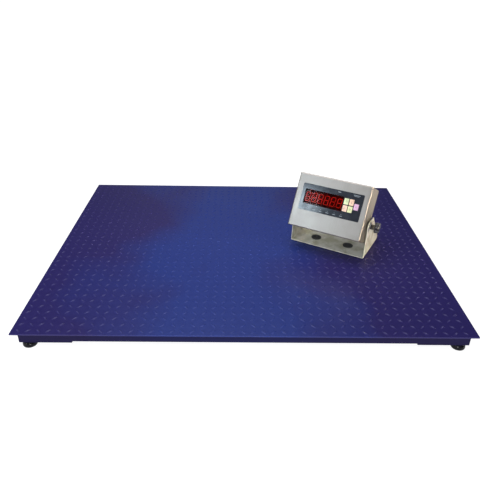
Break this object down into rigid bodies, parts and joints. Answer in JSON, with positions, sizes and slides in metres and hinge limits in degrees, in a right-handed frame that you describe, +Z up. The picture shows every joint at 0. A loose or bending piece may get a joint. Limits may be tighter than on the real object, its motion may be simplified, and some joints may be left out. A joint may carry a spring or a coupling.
{
  "type": "platform shipping scale",
  "caption": "Low steel platform scale with a tread-plate deck on load cells and levelling feet, and a stainless indicator that tilts in a U bracket.",
  "frame": {"origin": "on the floor, under the centre of the deck", "axes": "+X along the deck's long side, +Y towards its back, +Z up"},
  "size_m": [1.5, 1.2, 0.3784],
  "materials": {
    "deck_paint": "glossy ultramarine enamel over raised treads",
    "frame_paint": "satin ultramarine enamel",
    "machined_steel": "nickel-plated, fine-ground",
    "zinc_steel": "bright zinc plate",
    "cable_jacket": "matt jacket",
    "grey_plastic": "moulded, fine texture",
    "black_rubber": "moulded",
    "gland_nylon": "satin nylon",
    "circuit_board": "solder mask",
    "foot_black": "glossy enamel",
    "stainless_sheet": "brushed, satin",
    "overlay_ink": "screen-printed polyester film",
    "red_window": "tinted red acrylic",
    "battery_case": "moulded case",
    "iron_core": "varnished laminations",
    "switch_black": "polished",
    "knob_black": "moulded phenolic",
    "key_green": "printed, raised key",
    "key_salmon": "printed, raised key",
    "key_coral": "printed, raised key",
    "key_lime": "printed, raised key",
    "key_pink": "printed, raised key"
  },
  "bodies": {
    "platform": {"deck_plate": "deck_paint", "front_rail": "frame_paint", "rear_rail": "frame_paint", "left_rail": "frame_paint", "right_rail": "frame_paint", "deck_ribs": "frame_paint", "pocket_plates": "frame_paint", "load_cell_fl": "machined_steel", "load_cell_fr": "machined_steel", "load_cell_rl": "machined_steel", "load_cell_rr": "machined_steel", "load_cell_spacers": "machined_steel", "load_cell_bolts": "zinc_steel", "load_cell_cables": "cable_jacket", "cable_clips": "grey_plastic", "junction_box": "grey_plastic", "junction_box_gasket": "black_rubber", "junction_box_lid": "grey_plastic", "junction_box_screws": "zinc_steel", "junction_board": "circuit_board", "junction_box_glands": "gland_nylon", "outlet_gland": "gland_nylon"},
    "foot_fl": {"foot_stud_fl": "zinc_steel", "foot_cup_fl": "foot_black"},
    "foot_fr": {"foot_stud_fr": "zinc_steel", "foot_cup_fr": "foot_black"},
    "foot_rl": {"foot_stud_rl": "zinc_steel", "foot_cup_rl": "foot_black"},
    "foot_rr": {"foot_stud_rr": "zinc_steel", "foot_cup_rr": "foot_black"},
    "bracket": {"bracket": "stainless_sheet", "bracket_pads": "black_rubber", "bracket_grommets": "black_rubber", "pivot_washers": "zinc_steel"},
    "housing": {"housing_shell": "stainless_sheet", "rear_gasket": "black_rubber", "rear_cover": "stainless_sheet", "rear_screws": "zinc_steel", "pivot_bosses": "stainless_sheet", "keypad_overlay": "overlay_ink", "display_window": "red_window", "display_module": "circuit_board", "keypad_board": "circuit_board", "main_board": "circuit_board", "board_standoffs": "zinc_steel", "battery": "battery_case", "transformer": "iron_core", "housing_glands": "gland_nylon", "power_switch": "switch_black", "pivot_screw": "zinc_steel"},
    "power_rocker": {"power_rocker": "switch_black"},
    "clamp_knob": {"clamp_knob": "knob_black", "clamp_stud": "zinc_steel"},
    "key_zero": {"key_zero": "key_green"},
    "key_tare": {"key_tare": "key_salmon"},
    "key_count": {"key_count": "key_coral"},
    "key_print": {"key_print": "key_lime"},
    "key_power": {"key_power": "key_pink"}
  },
  "joints": [
    {"name": "level_fl", "type": "hinge", "parent": "platform", "child": "foot_fl", "pos_m": [-0.712, -0.55, 0.034], "axis": [0, 0, 1], "continuous": true},
    {"name": "level_fr", "type": "hinge", "parent": "platform", "child": "foot_fr", "pos_m": [0.712, -0.55, 0.034], "axis": [0, 0, 1], "continuous": true},
    {"name": "level_rl", "type": "hinge", "parent": "platform", "child": "foot_rl", "pos_m": [-0.712, 0.55, 0.034], "axis": [0, 0, 1], "continuous": true},
    {"name": "level_rr", "type": "hinge", "parent": "platform", "child": "foot_rr", "pos_m": [0.712, 0.55, 0.034], "axis": [0, 0, 1], "continuous": true},
    {"name": "bracket_lift", "type": "slide", "parent": "platform", "child": "bracket", "axis": [0, 0, 1], "range_m": [0, 0.2]},
    {"name": "housing_tilt", "type": "hinge", "parent": "bracket", "child": "housing", "pos_m": [0.3557, -0.01219, 0.21], "axis": [0.8704, -0.4924, 0], "range_deg": [-60, 60]},
    {"name": "clamp_knob_turn", "type": "hinge", "parent": "housing", "child": "clamp_knob", "pos_m": [0.49931, -0.09344, 0.21], "axis": [0.8704, -0.4924, 0], "continuous": true},
    {"name": "key_zero_press", "type": "slide", "parent": "housing", "child": "key_zero", "axis": [0.4315, 0.7627, -0.4818], "range_m": [0, 0.0005], "stiffness_N_per_m": 1500, "springref_m": -0.0005},
    {"name": "key_tare_press", "type": "slide", "parent": "housing", "child": "key_tare", "axis": [0.4315, 0.7627, -0.4818], "range_m": [0, 0.0005], "stiffness_N_per_m": 1500, "springref_m": -0.0005},
    {"name": "key_count_press", "type": "slide", "parent": "housing", "child": "key_count", "axis": [0.4315, 0.7627, -0.4818], "range_m": [0, 0.0005], "stiffness_N_per_m": 1500, "springref_m": -0.0005},
    {"name": "key_print_press", "type": "slide", "parent": "housing", "child": "key_print", "axis": [0.4315, 0.7627, -0.4818], "range_m": [0, 0.0005], "stiffness_N_per_m": 1500, "springref_m": -0.0005},
    {"name": "key_power_press", "type": "slide", "parent": "housing", "child": "key_power", "axis": [0.4315, 0.7627, -0.4818], "range_m": [0, 0.0005], "stiffness_N_per_m": 1500, "springref_m": -0.0005},
    {"name": "power_rocker_turn", "type": "hinge", "parent": "housing", "child": "power_rocker", "pos_m": [0.41512, -0.04932, 0.16603], "axis": [0.2372, 0.4193, 0.8763], "range_deg": [0, 16]}
  ]
}
